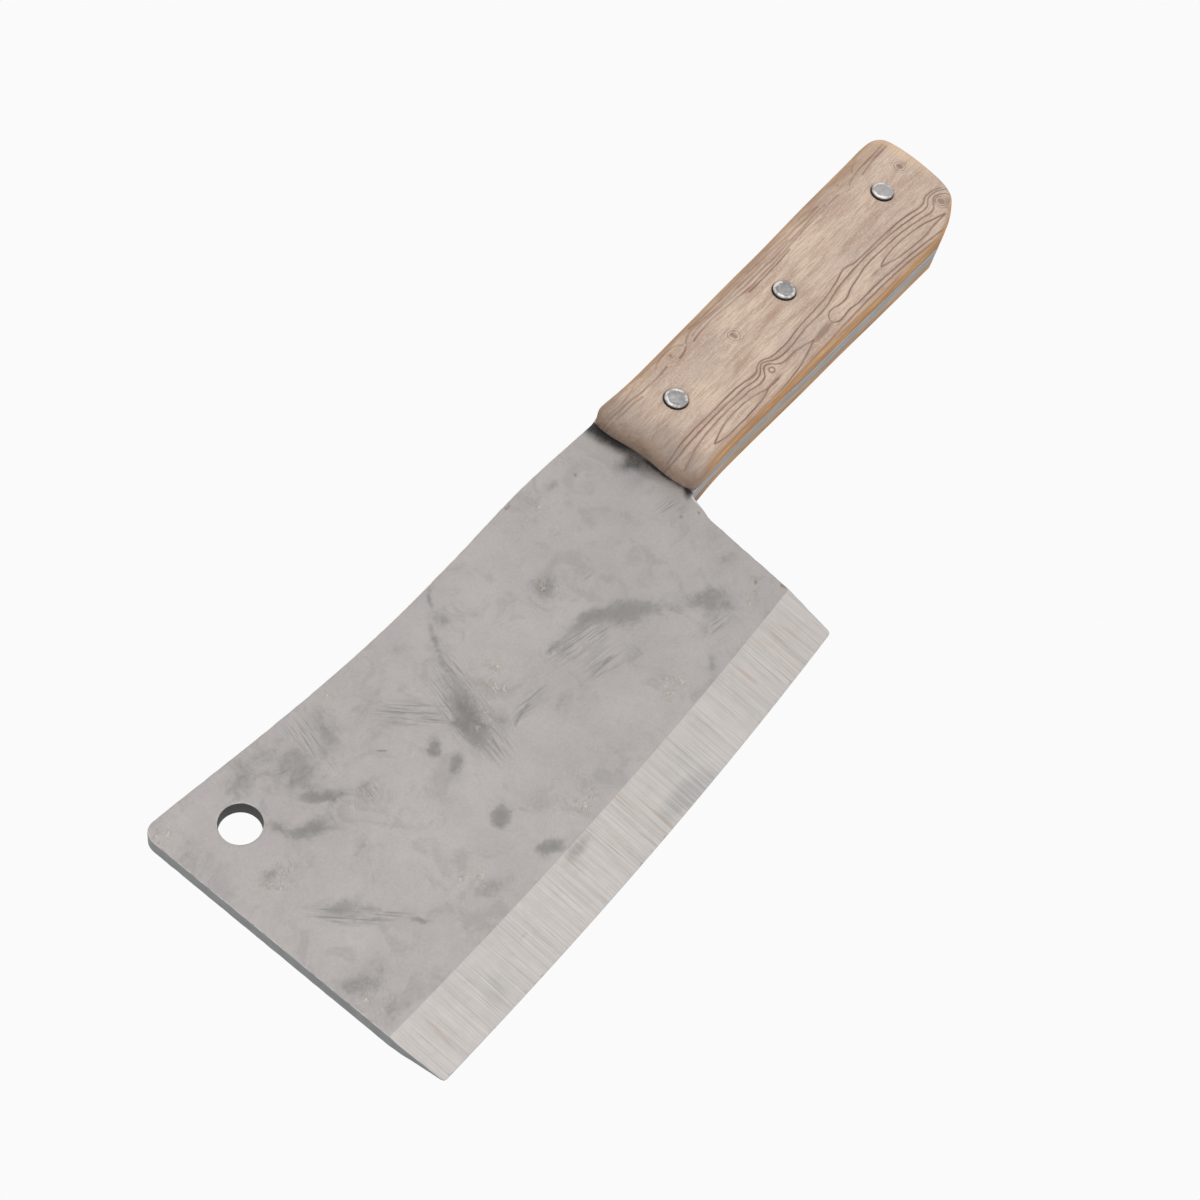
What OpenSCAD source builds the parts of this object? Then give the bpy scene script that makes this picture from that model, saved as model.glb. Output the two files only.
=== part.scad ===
// Meat cleaver: one steel plate ground to a cutting edge and drawn out into a
// full-width tang, two wooden handle scales, and three two-piece cutler's rivets.
//
// The cleaver lies flat. +X runs from the nose of the blade to the butt of the
// handle, +Y from the cutting edge to the spine and +Z out of one blade face.
// Lengths are in millimetres. Shapes are drawn about a local origin where the
// rivet row meets the front end of the scales, halfway through the plate, and
// place() then moves everything to the middle of the bottom of the whole part.

/* [Blade] */
// Length of the blade, from its front end to the scales
blade_l = 152.4; // [140:0.2:170]
// Thickness of the steel plate
blade_t = 4.6; // [3.6:0.1:6]
// Height of the spine above the rivet row at the handle
spine_y = 12.8; // [12:0.1:13.4]
// Rise of the spine towards the nose
nose_rise = 5.2; // [3:0.1:7]
// Depth of the cutting edge below the rivet row, at its lowest point
edge_y = 66.7; // [60:0.1:74]
// Width of the ground bevel
bevel_w = 14; // [11:0.5:18]
// Width of the flat left along the cutting edge
edge_t = 0.3; // [0.2:0.05:0.6]
// Diameter of the hang hole
hang_hole_d = 9.6; // [6:0.1:12]

/* [Handle] */
// Length of the scales and the tang
handle_l = 133; // [127:0.2:144]
// Thickness of each wooden scale
scale_t = 6; // [5:0.1:8]
// Rounding of the long upper edges of a scale
scale_edge_r = 3; // [2:0.1:4]
// Rounding of a scale's front end, down to the blade
scale_nose_r = 3.6; // [3:0.1:5]

/* [Rivets] */
// Distance from one rivet to the next
rivet_pitch = 48.6; // [44:0.2:50]
// Diameter of a rivet head
rivet_head_d = 6.2; // [5:0.1:8]
// Outside diameter of the socket's tube
rivet_tube_d = 4.2; // [3.6:0.1:4.6]
// Diameter of the stud's pin
rivet_pin_d = 2.4; // [1.6:0.1:2.8]

/* [Hidden] */
$fn = 96;

// Blade outline
half_t = blade_t / 2;
nose_y = spine_y + nose_rise;      // top of the blade's front end
nose_r = 3.2;                      // rounding of the nose corner
nose_set = 0.6;                    // how far the nose stands behind the bevel's front corner
toe_set = 0.7;                     // how far the toe stands behind the bevel's front corner
bevel_y = bevel_w - edge_y;        // where the bevel starts on each face
belly_x = -0.45 * blade_l;         // where the cutting edge is lowest
edge_r = 1430;                     // radius of the cutting edge, a very shallow arc
heel_x = -8.2;                     // heel end of the cutting edge
heel_lean = 7.1;                   // lean of the heel, in degrees
heel_knee_y = -26;                 // above this the heel runs in to the front of the handle
heel_corner_r = 0.8;               // rounding where the heel meets the tang
hang_hole_x = 15.7 - blade_l;
hang_hole_y = spine_y - 8.9;

// Handle outline
top_y0 = 12.15;                    // spine side of the handle at its front
top_y1 = 14.1;                     // and at its butt
low_y0 = -17.05;                   // edge side of the handle at its front
low_y1 = -21.2;                    // and at its butt
flare = 1;                         // swelling of both sides where they meet the blade
flare_l = 10;                      // how quickly that swelling dies away
front_r = 2.6;                     // corners of the scales at the blade
butt_top_l = 9;                    // the butt's rounding starts this far before the end on the spine side
butt_low_l = 20;                   // and this far on the edge side
side_steps = 16;                   // steps along each long side
bar_w = 60;                        // wider than the handle
bar_extra = 5;                     // how far the rounding bars run past its ends

// Rivets
rivet_x0 = 16.3;                   // first rivet behind the front of the scales
head_sink = 1;                     // depth of the recess that a head sits in
head_proud = 0.35;                 // straight side of a head that stands out of the wood
head_dome = 0.55;                  // rise of the domed top of a head
fit_gap = 0.05;                    // clearance all round a head or a tube in its hole
pin_gap = 0.02;                    // clearance between the pin and the tube's bore
end_gap = 1.5;                     // between the tube's end and the other head
head_hole_d = rivet_head_d + 2 * fit_gap;
tube_hole_d = rivet_tube_d + 2 * fit_gap;
half_h = half_t + scale_t;         // half the thickness of the handle
tube_l = 2 * (half_h - head_sink) - end_gap;
pin_l = tube_l - 0.5;
function rivet_x(i) = rivet_x0 + i * rivet_pitch;

// The middle of the bottom of the whole part becomes the origin
module place() {
    mid_x = (handle_l - blade_l) / 2;
    mid_y = (nose_y - edge_y) / 2;
    translate([-mid_x, -mid_y, half_h + head_proud + head_dome]) children();
}

// Points on an arc about c, from angle a0 to angle a1
function arc(c, r, a0, a1, n = 10) =
    [for (i = [0:n]) let (a = a0 + (a1 - a0) * i / n) c + r * [cos(a), sin(a)]];

// A smooth curve through the knots k, with n steps from each knot to the next
function knot(k, i) = k[max(0, min(len(k) - 1, i))];
function smooth(p, q, r, s, t) =
    q + t / 2 * (r - p) + t * t / 2 * (2 * p - 5 * q + 4 * r - s)
      + t * t * t / 2 * (3 * q - p - 3 * r + s);
function curve(k, n = 6) = concat(
    [for (i = [0:len(k) - 2], j = [0:n - 1])
        smooth(knot(k, i - 1), k[i], k[i + 1], knot(k, i + 2), j / n)],
    [k[len(k) - 1]]);
function reversed(v) = [for (i = [len(v) - 1:-1:0]) v[i]];

// Height of the handle's two long sides at a distance x behind the blade
function swell(x) = flare * exp(-pow(x / flare_l, 2));
function top_side(x) = top_y0 + (top_y1 - top_y0) * x / handle_l + swell(x);
function low_side(x) = low_y0 + (low_y1 - low_y0) * x / handle_l - swell(x);

// The heel is a straight line up from the cutting edge, and bends at its knee towards the
// lower corner of the handle's front
function heel_line(y) = heel_x + (y + edge_y) * tan(heel_lean);
knee = [heel_line(heel_knee_y), heel_knee_y];
corner_y = low_side(0);
shoulder_lean = atan2(-knee[0], corner_y - knee[1]);
function shoulder_line(y) = (y - corner_y) * tan(shoulder_lean);

// The two long sides of the handle, starting x0 behind the blade, and the butt between them:
// a tight corner, a leaning end and a long sweep up to the edge side
butt_top_x = handle_l - butt_top_l;
butt_low_x = handle_l - butt_low_l;
function along(x0, x1) = [for (i = [1:side_steps]) x0 + (x1 - x0) * i / side_steps];
function top_edge(x0) = [for (x = along(x0, butt_top_x)) [x, top_side(x)]];
function low_edge(x0) = reversed([for (x = along(x0, butt_low_x)) [x, low_side(x)]]);
butt_edge = curve([
    [butt_top_x, top_side(butt_top_x)],
    [handle_l - 4.4, 13.6],
    [handle_l - 1.9, 12.3],
    [handle_l - 0.5, 10.2],
    [handle_l, 6],
    [handle_l - 0.6, -2],
    [handle_l - 2.1, -9.6],
    [handle_l - 4.3, -14],
    [handle_l - 7.8, -16.4],
    [handle_l - 13, -18.7],
    [butt_low_x, low_side(butt_low_x)]]);

// The spine rises to the nose, with a shallow waist and a slight hump before the handle
nose_c = [-blade_l + nose_set + nose_r, nose_y - nose_r];
spine_knots = [
    [nose_c[0], nose_y],
    [-0.72 * blade_l, spine_y + 0.25 * nose_rise],
    [-0.53 * blade_l, spine_y - 0.3],
    [-0.36 * blade_l, spine_y - 0.1],
    [-0.18 * blade_l, spine_y + 0.8],
    [0, top_side(0) - 0.5]];

// Outline of the plate with its tang, before its edge is ground
heel_corner_y = corner_y - heel_corner_r;
heel_corner_c = [shoulder_line(heel_corner_y) + heel_corner_r / cos(shoulder_lean), heel_corner_y];
blank_y = -edge_y - 2;
module plate_outline() {
    polygon(concat(
        [[toe_set - blade_l, blank_y], [-blade_l, bevel_y]],
        arc(nose_c, nose_r, 180, 95, 6),
        curve(spine_knots),
        top_edge(0),
        butt_edge,
        low_edge(heel_corner_c[0]),
        arc(heel_corner_c, heel_corner_r, 90, 180 - shoulder_lean, 6),
        [knee, [heel_line(blank_y), blank_y]]));
}

// The space inside the grinding: a huge lens whose rim is the cutting edge and whose
// two slopes are the bevels, so each bevel line is an arc alongside the edge
module ground_lens() {
    slope = (half_t - edge_t / 2) / bevel_w;
    inner_r = edge_r - bevel_w - 1 / slope;
    translate([belly_x, edge_r - edge_y, 0]) rotate_extrude($fn = 720)
        polygon([[0, -half_t - 1], [inner_r, -half_t - 1], [edge_r, -edge_t / 2],
                 [edge_r, edge_t / 2], [inner_r, half_t + 1], [0, half_t + 1]]);
}

// The blade and the tang are one plate, drilled for the hang hole and the rivets
module blade() {
    color("#aca8a3") place() difference() {
        intersection() {
            translate([0, 0, -half_t]) linear_extrude(blade_t) plate_outline();
            ground_lens();
        }
        translate([hang_hole_x, hang_hole_y, 0]) cylinder(d = hang_hole_d, h = 2 * blade_t, center = true);
        for (i = [0:2])
            translate([rivet_x(i), 0, 0]) cylinder(d = tube_hole_d, h = 2 * blade_t, center = true);
    }
}

// Outline of a scale: the tang's, with rounded corners towards the blade
module scale_outline() {
    polygon(concat(
        arc([front_r, top_side(front_r) - front_r], front_r, 180, 92, 6),
        top_edge(front_r),
        butt_edge,
        low_edge(front_r),
        arc([front_r, low_side(front_r) + front_r], front_r, 268, 180, 6)));
}

// Quarter-rounded bar section, w wide and h high, with its far upper corner rounded
module rounded_section(w, h, r) {
    square([w - r, h]);
    square([w, h - r]);
    translate([w - r, h - r]) circle(r);
}

// Long bar whose rounded upper edge follows one side of the handle, from y0 to y1
module side_bar(y0, y1) {
    slope = atan((y1 - y0) / handle_l);
    translate([0, y0, 0]) rotate(slope) translate([-bar_extra, -bar_w, 0])
        rotate([90, 0, 90]) linear_extrude(handle_l + 2 * bar_extra)
            rounded_section(bar_w, scale_t, scale_edge_r);
}

// Lengthwise section: a full round down to the blade and a smaller one at the butt
module end_rounding() {
    rotate([90, 0, 0]) linear_extrude(2 * bar_w, center = true) {
        translate([handle_l / 2, 0]) {
            rounded_section(handle_l / 2, scale_t, scale_edge_r);
            mirror([1, 0]) rounded_section(handle_l / 2, scale_t, scale_nose_r);
        }
    }
}

// A wooden scale lying on z = 0, with stepped holes for the rivets
module scale() {
    difference() {
        intersection() {
            linear_extrude(scale_t) scale_outline();
            side_bar(top_y0 + flare, top_y1);
            mirror([0, 1, 0]) side_bar(flare - low_y0, -low_y1);
            end_rounding();
        }
        for (i = [0:2]) translate([rivet_x(i), 0, 0]) {
            cylinder(d = tube_hole_d, h = 3 * scale_t, center = true);
            translate([0, 0, scale_t - head_sink]) cylinder(d = head_hole_d, h = scale_t);
        }
    }
}

module scale_left() {
    color("#c8b29e") place() translate([0, 0, half_t]) scale();
}

module scale_right() {
    color("#c8b29e") place() mirror([0, 0, 1]) translate([0, 0, half_t]) scale();
}

// Rivet head with a low domed top, standing on z = 0
module rivet_head() {
    side_h = head_sink + head_proud;
    r = rivet_head_d / 2;
    dome_r = (r * r + head_dome * head_dome) / (2 * head_dome);
    cylinder(r = r, h = side_h);
    intersection() {
        translate([0, 0, side_h + head_dome - dome_r]) sphere(dome_r);
        cylinder(r = r, h = side_h + head_dome);
    }
}

// Female half of a rivet: a head with a tube reaching down through the handle
module rivet_socket(i) {
    color("#d4d4d2") place() translate([rivet_x(i), 0, half_h - head_sink]) difference() {
        union() {
            rivet_head();
            translate([0, 0, -tube_l]) cylinder(d = rivet_tube_d, h = tube_l + head_sink / 2);
        }
        translate([0, 0, -tube_l - 1]) cylinder(d = rivet_pin_d + 2 * pin_gap, h = tube_l + 1);
    }
}

// Male half of a rivet: a head with a pin driven up into the tube
module rivet_stud(i) {
    color("#d4d4d2") place() mirror([0, 0, 1]) translate([rivet_x(i), 0, half_h - head_sink]) {
        rivet_head();
        translate([0, 0, -pin_l]) cylinder(d = rivet_pin_d, h = pin_l + head_sink / 2);
    }
}

blade();
scale_left();
scale_right();
rivet_socket(0);  // rivet_socket_front
rivet_socket(1);  // rivet_socket_middle
rivet_socket(2);  // rivet_socket_rear
rivet_stud(0);  // rivet_stud_front
rivet_stud(1);  // rivet_stud_middle
rivet_stud(2);  // rivet_stud_rear
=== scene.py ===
"""A meat cleaver with a full tang, two wooden scales and three two-part rivets, worn by long use.

Shapes are worked out in the handle's own axes: x runs from the front of the scales to the butt,
y from the row of rivets to the spine, and z from the middle of the plate to the shown face.
place() moves them into the row frame.
"""

import math

import bmesh
import bpy
from mathutils import Matrix, Vector, noise
from mathutils.geometry import delaunay_2d_cdt


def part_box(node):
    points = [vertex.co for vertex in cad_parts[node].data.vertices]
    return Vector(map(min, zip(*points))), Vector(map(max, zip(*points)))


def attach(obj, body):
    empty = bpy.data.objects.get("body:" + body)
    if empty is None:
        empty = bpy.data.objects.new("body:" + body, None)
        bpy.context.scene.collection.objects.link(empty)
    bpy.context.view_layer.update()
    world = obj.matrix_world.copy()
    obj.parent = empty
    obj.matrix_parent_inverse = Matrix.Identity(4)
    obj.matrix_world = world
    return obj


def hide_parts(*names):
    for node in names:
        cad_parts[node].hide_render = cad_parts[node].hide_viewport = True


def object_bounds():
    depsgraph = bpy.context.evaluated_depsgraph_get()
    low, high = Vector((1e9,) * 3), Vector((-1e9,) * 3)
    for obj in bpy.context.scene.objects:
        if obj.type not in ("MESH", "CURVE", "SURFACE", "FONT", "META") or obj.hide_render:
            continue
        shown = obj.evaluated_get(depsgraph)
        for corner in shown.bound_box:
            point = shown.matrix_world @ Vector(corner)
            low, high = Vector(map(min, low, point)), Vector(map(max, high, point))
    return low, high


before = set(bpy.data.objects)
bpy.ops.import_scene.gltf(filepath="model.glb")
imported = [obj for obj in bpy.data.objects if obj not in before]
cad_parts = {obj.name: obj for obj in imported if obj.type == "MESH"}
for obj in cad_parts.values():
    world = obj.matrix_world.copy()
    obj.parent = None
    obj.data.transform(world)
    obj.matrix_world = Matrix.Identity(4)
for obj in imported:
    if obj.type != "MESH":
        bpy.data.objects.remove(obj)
cad_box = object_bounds()

MM = 0.001
PLACES = ("front", "middle", "rear")

# ---------------------------------------------------------------- sizes, read from the frame
blade_low, blade_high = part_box("blade")
scale_low, scale_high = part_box("scale_left")
heads = [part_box("rivet_socket_" + place) for place in PLACES]
studs = [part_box("rivet_stud_" + place) for place in PLACES]
rivet_points = [(low + high) / 2 for low, high in heads]
origin = Vector((scale_low.x, rivet_points[0].y, (blade_low.z + blade_high.z) / 2))

blade_l = scale_low.x - blade_low.x
blade_half = (blade_high.z - blade_low.z) / 2
handle_l = round(scale_high.x - scale_low.x, 3)
face_z = scale_high.z - origin.z
head_r = (heads[0][1].x - heads[0][0].x) / 2
head_top = heads[0][1].z - origin.z
stud_top = studs[0][1].z - origin.z
socket_end = heads[0][0].z - origin.z
rivet_xs = [point.x - origin.x for point in rivet_points]

# blade
spine_y = 12.8 * MM
nose_rise = 5.2 * MM
edge_y = 66.7 * MM
bevel_w = 14 * MM
edge_t = 0.3 * MM
nose_y = spine_y + nose_rise
nose_r = 3.2 * MM
nose_set = 0.6 * MM
toe_set = 0.7 * MM
bevel_y = bevel_w - edge_y
belly_x = -0.45 * blade_l
edge_r = 1430 * MM
edge_centre = Vector((belly_x, edge_r - edge_y))
heel_x = -8.2 * MM
heel_lean = math.radians(7.1)
heel_knee_y = -26 * MM
heel_corner_r = 0.8 * MM
hang_hole_r = 4.8 * MM
hang_hole = Vector((15.7 * MM - blade_l, spine_y - 8.9 * MM))

# handle
top_y0 = 12.15 * MM
top_y1 = 14.1 * MM
low_y0 = -17.05 * MM
low_y1 = -21.2 * MM
flare = 1 * MM
flare_l = 10 * MM
front_r = 2.6 * MM
butt_top_l = 9 * MM
butt_low_l = 20 * MM
side_round = 3 * MM
nose_round = 3.6 * MM
recess = 1 * MM
tube_r = 2.1 * MM
pin_r = 1.2 * MM

# wear
blade_wear = 0.28 * MM
seam_wear = 0.18 * MM
shoulder_wear = 0.45 * MM
head_dents = 0.1 * MM
point_step = 0.8 * MM


# ---------------------------------------------------------------- outlines
def arc(centre, radius, start, end, count=10):
    """Points on an arc, from start to end in degrees."""
    angles = [math.radians(start + (end - start) * i / count) for i in range(count + 1)]
    return [Vector((centre[0] + radius * math.cos(a), centre[1] + radius * math.sin(a))) for a in angles]


def circle(centre, radius, count):
    """That many points round a circle."""
    return arc(centre, radius, 0, 360, count)[:-1]


def curve(knots, count=8):
    """A smooth line through the knots."""
    ends = [2 * knots[0] - knots[1]] + knots + [2 * knots[-1] - knots[-2]]
    points = []
    for a, b, c, d in zip(ends, ends[1:], ends[2:], ends[3:]):
        slope = (c - a) / 2
        bend = a - 2.5 * b + 2 * c - 0.5 * d
        twist = (3 * b - a - 3 * c + d) / 2
        for i in range(count):
            t = i / count
            points.append(b + slope * t + bend * t**2 + twist * t**3)
    return points + [knots[-1]]


def steps(start, end, count):
    return [start + (end - start) * i / count for i in range(count + 1)]


def swell(x):
    return flare * math.exp(-((x / flare_l) ** 2))


def top_side(x):
    """Y of the handle's spine side."""
    return top_y0 + (top_y1 - top_y0) * x / handle_l + swell(x)


def low_side(x):
    """Y of the handle's edge side."""
    return low_y0 + (low_y1 - low_y0) * x / handle_l - swell(x)


def heel_line(y):
    """X of the heel, which leans back towards the handle."""
    return heel_x + (y + edge_y) * math.tan(heel_lean)


butt_top_x = handle_l - butt_top_l
butt_low_x = handle_l - butt_low_l
rounds_per_mm = 4  # of smoothing, for each millimetre that the end is moved inwards
# how far before the end of the handle, and y, in millimetres
BUTT_KNOTS = ((4.4, 13.6), (1.9, 12.3), (0.5, 10.2), (0, 6), (0.6, -2), (2.1, -9.6), (4.3, -14), (7.8, -16.4),
              (13, -18.7))


def butt_outline(count, inset=0.0):
    """The handle's end from its spine side to its edge side, moved inwards.

    It has a tight corner, a leaning end and a long sweep.
    """
    knots = [Vector((butt_top_x, top_side(butt_top_x)))]
    knots += [Vector((handle_l - back * MM, y * MM)) for back, y in BUTT_KNOTS]
    knots.append(Vector((butt_low_x, low_side(butt_low_x))))
    line = curve(knots, count)
    before = Vector((butt_top_x - MM, top_side(butt_top_x - MM)))
    after = Vector((butt_low_x - MM, low_side(butt_low_x - MM)))
    moved = []
    for a, p, b in zip([before] + line[:-1], line, line[1:] + [after]):
        along = (b - a).normalized()
        moved.append(p + inset * Vector((along.y, -along.x)))
    for _ in range(round(rounds_per_mm * inset / MM)):
        inner = [p * 0.5 + (a + b) * 0.25 for a, p, b in zip(moved, moved[1:], moved[2:])]
        moved = moved[:1] + inner + moved[-1:]
    return moved


def handle_outline(inset, nose_inset):
    """The handle's outline, moved inwards, from its edge side round the front."""
    corner = max(front_r - min(inset, nose_inset), 0.3 * MM)
    x = nose_inset + corner
    low = low_side(x) + inset + corner
    top = top_side(x) - inset - corner
    front_low = arc((x, low), corner, 270, 180, 8)
    front = [Vector((nose_inset, y)) for y in steps(low, top, 44)][1:-1]
    front_top = arc((x, top), corner, 180, 90, 8)
    spine = [Vector((x, top_side(x) - inset)) for x in steps(x, butt_top_x, 170)][1:-1]
    butt = butt_outline(6, inset)
    edge = [Vector((x, low_side(x) + inset)) for x in steps(butt_low_x, x, 160)][1:-1]
    return front_low + front + front_top + spine + butt + edge


def blade_outline():
    """The outline of the blade and its tang, as corners and curves."""
    nose_c = Vector((nose_set + nose_r - blade_l, nose_y - nose_r))
    spine_knots = [
        Vector((nose_c.x, nose_y)),
        Vector((-0.72 * blade_l, spine_y + 0.25 * nose_rise)),
        Vector((-0.53 * blade_l, spine_y - 0.3 * MM)),
        Vector((-0.36 * blade_l, spine_y - 0.1 * MM)),
        Vector((-0.18 * blade_l, spine_y + 0.8 * MM)),
        Vector((0, top_side(0) - 0.5 * MM)),
    ]
    knee = Vector((heel_line(heel_knee_y), heel_knee_y))
    shoulder_lean = math.atan2(-knee.x, low_side(0) - knee.y)
    corner_x = heel_corner_r / math.cos(shoulder_lean) - heel_corner_r * math.tan(shoulder_lean)
    corner_c = (corner_x, low_side(0) - heel_corner_r)
    toe = Vector((toe_set - blade_l, edge_point(toe_set - blade_l)))
    heel = Vector((heel_x, edge_point(heel_x)))
    outline = [toe, Vector((-blade_l, bevel_y))] + arc(nose_c, nose_r, 180, 95, 6) + curve(spine_knots)
    outline += [Vector((x, top_side(x))) for x in steps(0, butt_top_x, 60)][1:]
    outline += butt_outline(4)
    outline += [Vector((x, low_side(x))) for x in steps(butt_low_x, corner_c[0], 60)][1:]
    outline += arc(corner_c, heel_corner_r, 90, 180 - math.degrees(shoulder_lean), 8) + [knee, heel]
    outline += [Vector((x, edge_point(x))) for x in steps(heel.x, toe.x, 60)][1:-1]
    return outline


def edge_point(x):
    """Y of the cutting edge."""
    return edge_centre.y - math.sqrt(edge_r**2 - (x - belly_x) ** 2)


def spaced(outline, step):
    """The closed outline again, with points a step apart."""
    ends = outline[1:] + outline[:1]
    lengths = [(b - a).length for a, b in zip(outline, ends)]
    count = round(sum(lengths) / step)
    points, walked, i = [], 0.0, 0
    for k in range(count):
        target = sum(lengths) * k / count
        while walked + lengths[i] < target:
            walked += lengths[i]
            i += 1
        points.append(outline[i].lerp(ends[i], (target - walked) / lengths[i]))
    return points


def softened(points):
    """The closed outline with its corners slightly worn."""
    before = points[-1:] + points[:-1]
    after = points[1:] + points[:1]
    return [p * 0.5 + (a + b) * 0.25 for a, p, b in zip(before, points, after)]


def inwards(points):
    """For each point of a clockwise closed outline, the direction into it."""
    sides = []
    for a, b in zip(points[-1:] + points[:-1], points[1:] + points[:1]):
        along = (b - a).normalized()
        sides.append(Vector((along.y, -along.x)))
    return sides


# ---------------------------------------------------------------- mesh
def place(point):
    """A point of the handle's axes in the row frame."""
    return origin + Vector(point)


def ring(bm, points):
    return [bm.verts.new(place(p)) for p in points]


def loft(bm, a, b):
    """Faces between two rings of the same number of points."""
    for i in range(len(a)):
        j = (i + 1) % len(a)
        bm.faces.new((a[i], a[j], b[j], b[i]))


def inside(point, loop):
    """Whether a point lies in a closed loop of points."""
    odd = False
    for a, b in zip(loop, loop[1:] + loop[:1]):
        if (a.y > point.y) != (b.y > point.y):
            if point.x < a.x + (b.x - a.x) * (point.y - a.y) / (b.y - a.y):
                odd = not odd
    return odd


def flat(verts):
    """The verts' places in the handle's axes, in plan."""
    return [Vector((v.co.x - origin.x, v.co.y - origin.y)) for v in verts]


def grid(outer, step):
    """Staggered points inside a loop, and clear of it."""
    xs = [p.x for p in outer]
    ys = [p.y for p in outer]
    rows = int((max(ys) - min(ys)) / step)
    columns = int((max(xs) - min(xs)) / step)
    found = []
    for row in range(1, rows):
        for column in range(1, columns):
            point = Vector((min(xs) + (column + row % 2 / 2) * step, min(ys) + row * step))
            if inside(point, outer):
                found.append(point)
    return found


def fill(bm, outer, holes, height, step, line=()):
    """Fills the surface between a ring and the rings of its holes.

    The line is a chain of points that are kept as edges.
    """
    rings = [outer] + holes
    verts = [v for r in rings for v in r]
    loops = [flat(r) for r in rings]
    points = [p for loop in loops for p in loop]
    edges = []
    start = 0
    for r in rings:
        edges += [(start + i, start + (i + 1) % len(r)) for i in range(len(r))]
        start += len(r)
    extra = list(line)
    edges += [(start + i, start + i + 1) for i in range(len(extra) - 1)]
    clearance = 0.6 * step
    for point in grid(loops[0], step):
        near = min((point - p).length for p in points)
        if near > clearance and not any(inside(point, loop) for loop in loops[1:]):
            if all((point - p).length > clearance for p in line):
                extra.append(point)
    found, _, faces, origins, _, _ = delaunay_2d_cdt(points + extra, edges, [], 1, 1e-7)
    made = []
    for point, source in zip(found, origins):
        first = source[0] if source else -1
        if 0 <= first < len(verts):
            made.append(verts[first])
        else:
            made.append(bm.verts.new(place((point.x, point.y, height(point.x, point.y)))))
    for face in faces:
        middle = sum((found[i] for i in face), Vector((0, 0))) / 3
        if not any(inside(middle, loop) for loop in loops[1:]):
            bm.faces.new([made[i] for i in face])


def linked(name, data):
    """A new object in the scene."""
    made = bpy.data.objects.new(name, data)
    bpy.context.scene.collection.objects.link(made)
    return made


def finished(name, bm, material):
    """The mesh as an object, smooth except at its marked edges, riding on the one body."""
    bmesh.ops.recalc_face_normals(bm, faces=bm.faces)
    for face in bm.faces:
        face.smooth = True
    mesh = bpy.data.meshes.new(name)
    bm.to_mesh(mesh)
    bm.free()
    piece = linked(name, mesh)
    mesh.materials.append(material)
    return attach(piece, "root")


def wobble(x, y, size, seed=0.0):
    """Smooth noise from about -1 to 1, whose bumps are about size across."""
    return noise.noise(Vector((x / size, y / size, seed)))


# ---------------------------------------------------------------- blade
def edge_drop(x, y):
    """How far a point of the ground bevel lies below the face."""
    reach = (Vector((x, y)) - edge_centre).length - (edge_r - bevel_w)
    return max(0.0, reach) / bevel_w * (blade_half - edge_t / 2)


def blade_height(x, y):
    """Z of the blade's face, with the slight waves of forged and ground steel."""
    on_blade = min(1.0, max(0.0, -x / (10 * MM)))
    waves = 0.03 * MM * wobble(x, y, 24 * MM, 3.1) + 0.012 * MM * wobble(x, y, 7 * MM, 8.7)
    return blade_half - edge_drop(x, y) + on_blade * waves


def stack(bm, levels):
    """Rings of points joined one after another. Returns the rings."""
    rings = [ring(bm, points) for points in levels]
    for a, b in zip(rings, rings[1:]):
        loft(bm, a, b)
    return rings


def blade_rings(side):
    """The rounded rim of one face of the blade, from its side wall inwards."""
    outline = softened(spaced(blade_outline(), point_step))
    inward = inwards(outline)
    thicks = [blade_half - edge_drop(p.x, p.y) for p in outline]
    wears = []
    for p, thick in zip(outline, thicks):
        chips = 1 + 0.9 * wobble(p.x, p.y, 2.2 * MM, side)
        wear = min(blade_wear * max(chips, 0.3), 0.8 * thick)
        shoulder = (p.y - heel_knee_y) / (low_side(0) - heel_knee_y)
        if -4 * MM < p.x < 0.5 * MM and 0 < shoulder < 1:
            wear += shoulder_wear * shoulder
        elif p.x > 0:
            wear = seam_wear
        wears.append(wear)
    rings = []
    for turn in (0, 25, 50, 75, 90):
        angle = math.radians(turn)
        points = []
        for p, n, thick, wear in zip(outline, inward, thicks, wears):
            q = p + n * wear * (1 - math.cos(angle))
            points.append((q.x, q.y, side * (thick - wear * (1 - math.sin(angle)))))
        rings.append(points)
    points = []
    for p, n, wear in zip(outline, inward, wears):
        q = p + n * max(0.8 * MM, wear + 0.4 * MM)
        points.append((q.x, q.y, side * blade_height(q.x, q.y)))
    rings.append(points)
    return rings


def hole_rings(centre, radius, side, wear, count):
    """The rounded rim of one end of a hole."""
    rings = []
    for turn in (0, 30, 60, 90):
        angle = math.radians(turn)
        spread = radius + wear * (1 - math.cos(angle))
        z = side * (blade_half - wear * (1 - math.sin(angle)))
        rings.append([(p.x, p.y, z) for p in circle(centre, spread, count)])
    outer = circle(centre, radius + wear + 0.5 * MM, count)
    rings.append([(p.x, p.y, side * blade_height(p.x, p.y)) for p in outer])
    return rings


def bevel_line():
    """Points along the start of the bevel, from the front to the heel, inside the rim."""
    start = edge_r - bevel_w
    xs = steps(1.4 * MM - blade_l, heel_line(bevel_y) - 1.4 * MM, 150)
    return [Vector((x, edge_centre.y - math.sqrt(start**2 - (x - belly_x) ** 2))) for x in xs]


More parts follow.
